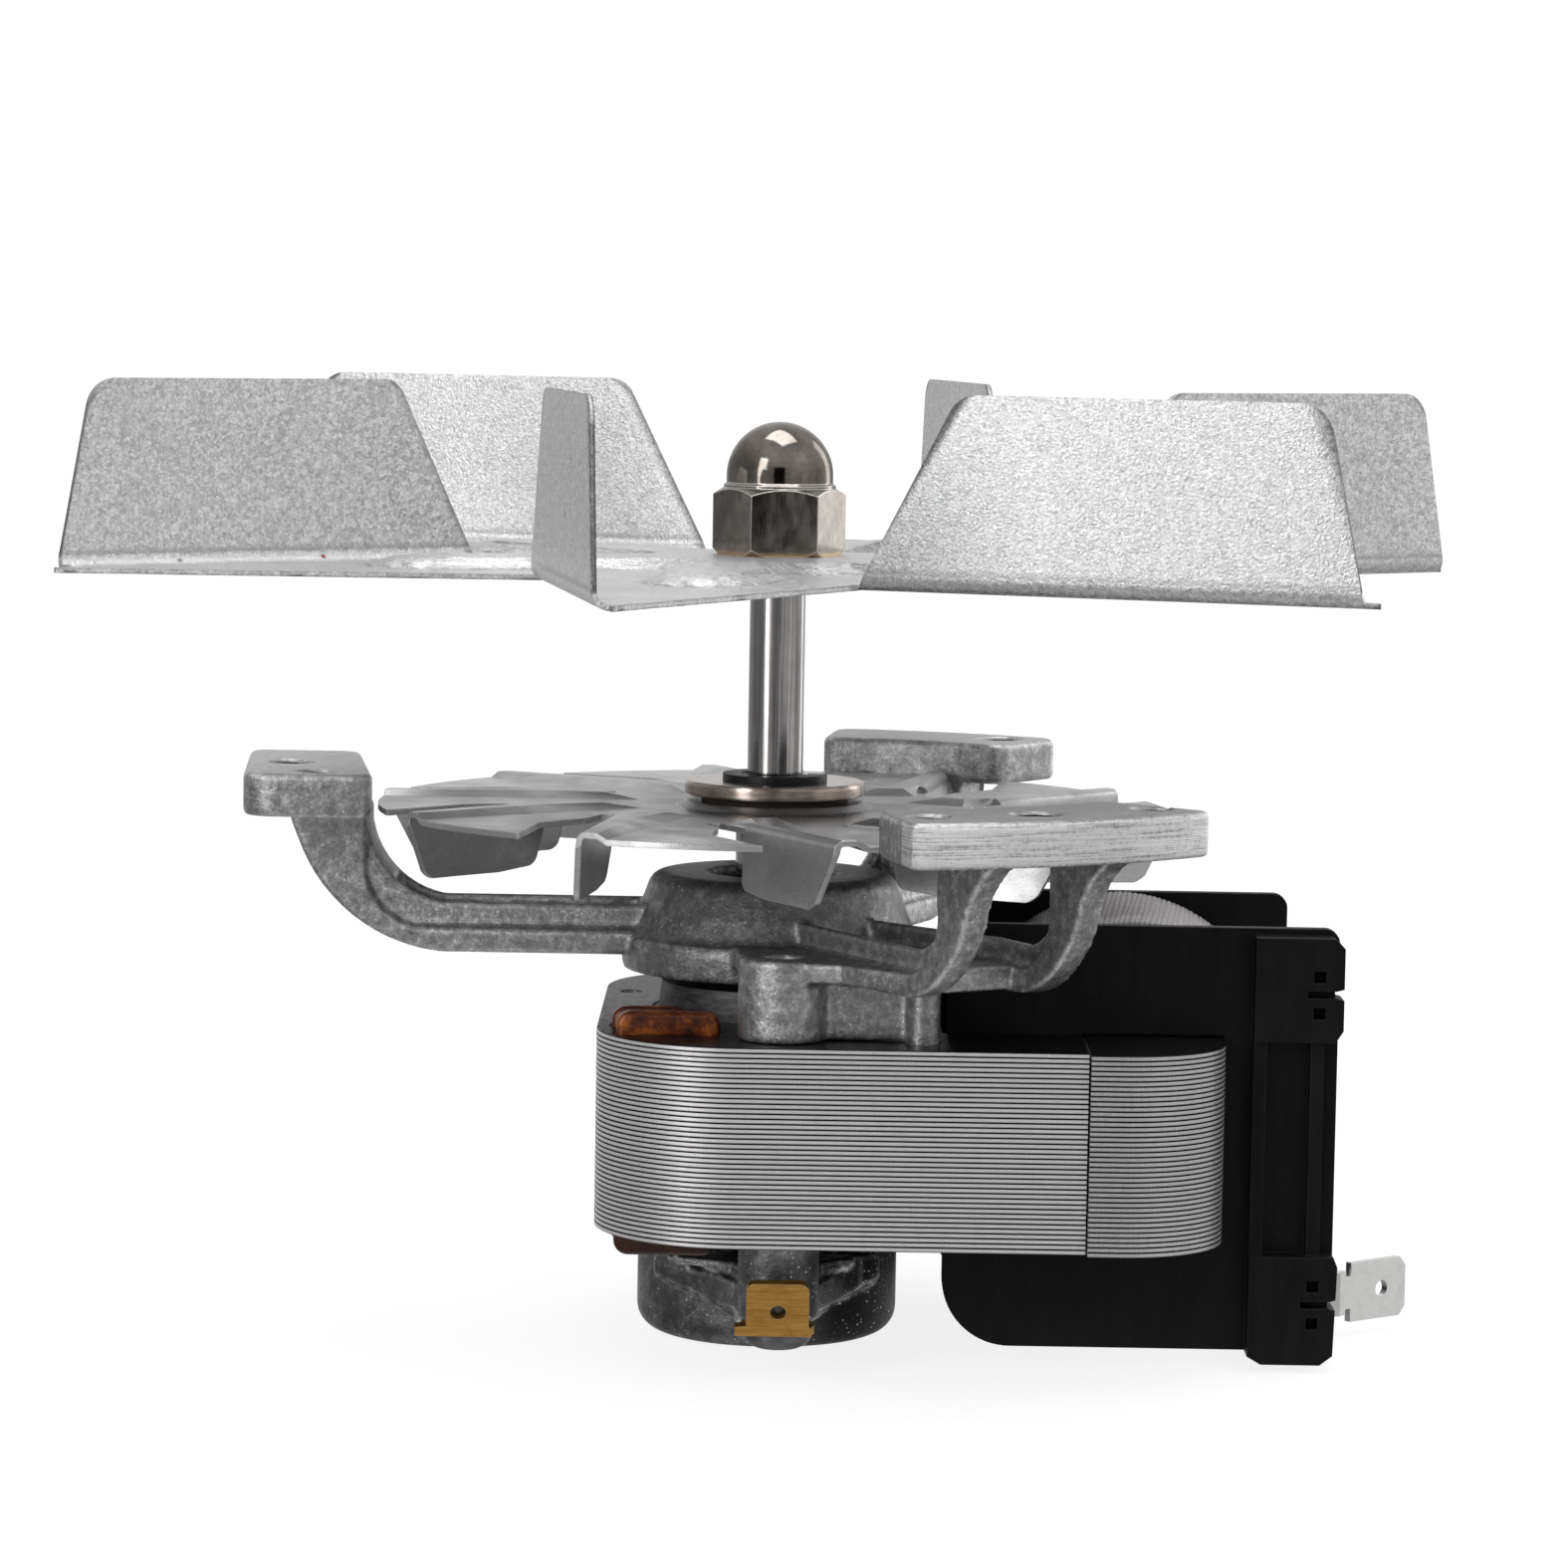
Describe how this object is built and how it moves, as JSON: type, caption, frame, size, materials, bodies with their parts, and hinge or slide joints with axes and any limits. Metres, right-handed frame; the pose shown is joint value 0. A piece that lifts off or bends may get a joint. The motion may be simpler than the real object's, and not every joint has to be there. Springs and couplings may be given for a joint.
{
  "type": "oven fan motor",
  "caption": "Shaded-pole motor for a hot-air oven, with a folded sheet impeller on its shaft, a small cooling fan and a cast bracket with feet that bolt to the oven's rear wall.",
  "frame": {"origin": "on the shaft axis, at the centre of the fixing holes, in the plane of the feet's mounting faces", "axes": "+Z along the shaft, from the motor towards the impeller; +X towards the coil; the picture looks along +Y"},
  "size_m": [0.1438, 0.149, 0.0988],
  "materials": {
    "impeller_sheet": "aluminised sheet with a fine sparkling spangle",
    "fan_sheet": "grey galvanised sheet, smooth",
    "nickel": "bright nickel plate",
    "shaft_steel": "ground bright steel",
    "black_spring_steel": "black oiled spring steel",
    "washer_nickel": "worn nickel plate",
    "dark_fibre": "dark pressed fibre",
    "cage_aluminium": "cast, machined",
    "die_cast": "die cast, shot blasted, edges worn bright",
    "sintered_bronze": "oiled sintered bronze",
    "spring_steel": "plain spring steel",
    "felt": "oiled wool felt",
    "laminations": "stacked bare sheet edges, dark faces",
    "core_laminations": "stacked bare sheet edges, dark faces",
    "enamelled_copper": "brown enamelled copper",
    "black_moulding": "black glass-filled moulding",
    "winding_copper": "enamelled copper wire",
    "glass_thread": "white glass thread",
    "tinned_tab": "tin plated",
    "brass_tab": "stamped brass",
    "dark_screw_steel": "black oxide"
  },
  "bodies": {
    "motor": {"front_bracket": "die_cast", "rear_bracket": "die_cast", "front_bearing": "sintered_bronze", "rear_bearing": "sintered_bronze", "front_bearing_retainer": "spring_steel", "rear_bearing_retainer": "spring_steel", "front_oil_felt": "felt", "rear_oil_felt": "felt", "stator_stack": "laminations", "coil_core": "core_laminations", "shading_ring_front_outer": "enamelled_copper", "shading_ring_front_inner": "enamelled_copper", "shading_ring_rear_outer": "enamelled_copper", "shading_ring_rear_inner": "enamelled_copper", "bobbin": "black_moulding", "winding": "winding_copper", "winding_tape": "glass_thread", "side_terminal": "tinned_tab", "rear_terminal": "tinned_tab", "earth_tab": "brass_tab", "front_frame_screw": "dark_screw_steel", "rear_frame_screw": "dark_screw_steel"},
    "rotor": {"shaft": "shaft_steel", "cap_nut": "nickel", "impeller": "impeller_sheet", "shaft_clip": "black_spring_steel", "clip_washer": "washer_nickel", "fibre_washer": "dark_fibre", "cooling_fan": "fan_sheet", "rotor_core": "laminations", "rotor_cage": "cage_aluminium", "front_spacer": "dark_fibre", "rear_spacer": "dark_fibre", "front_thrust_washer": "dark_fibre", "rear_thrust_washer": "dark_fibre"}
  },
  "joints": [
    {"name": "shaft_spin", "type": "hinge", "parent": "motor", "child": "rotor", "pos_m": [0, 0, 0], "axis": [0, 0, 1], "continuous": true}
  ]
}
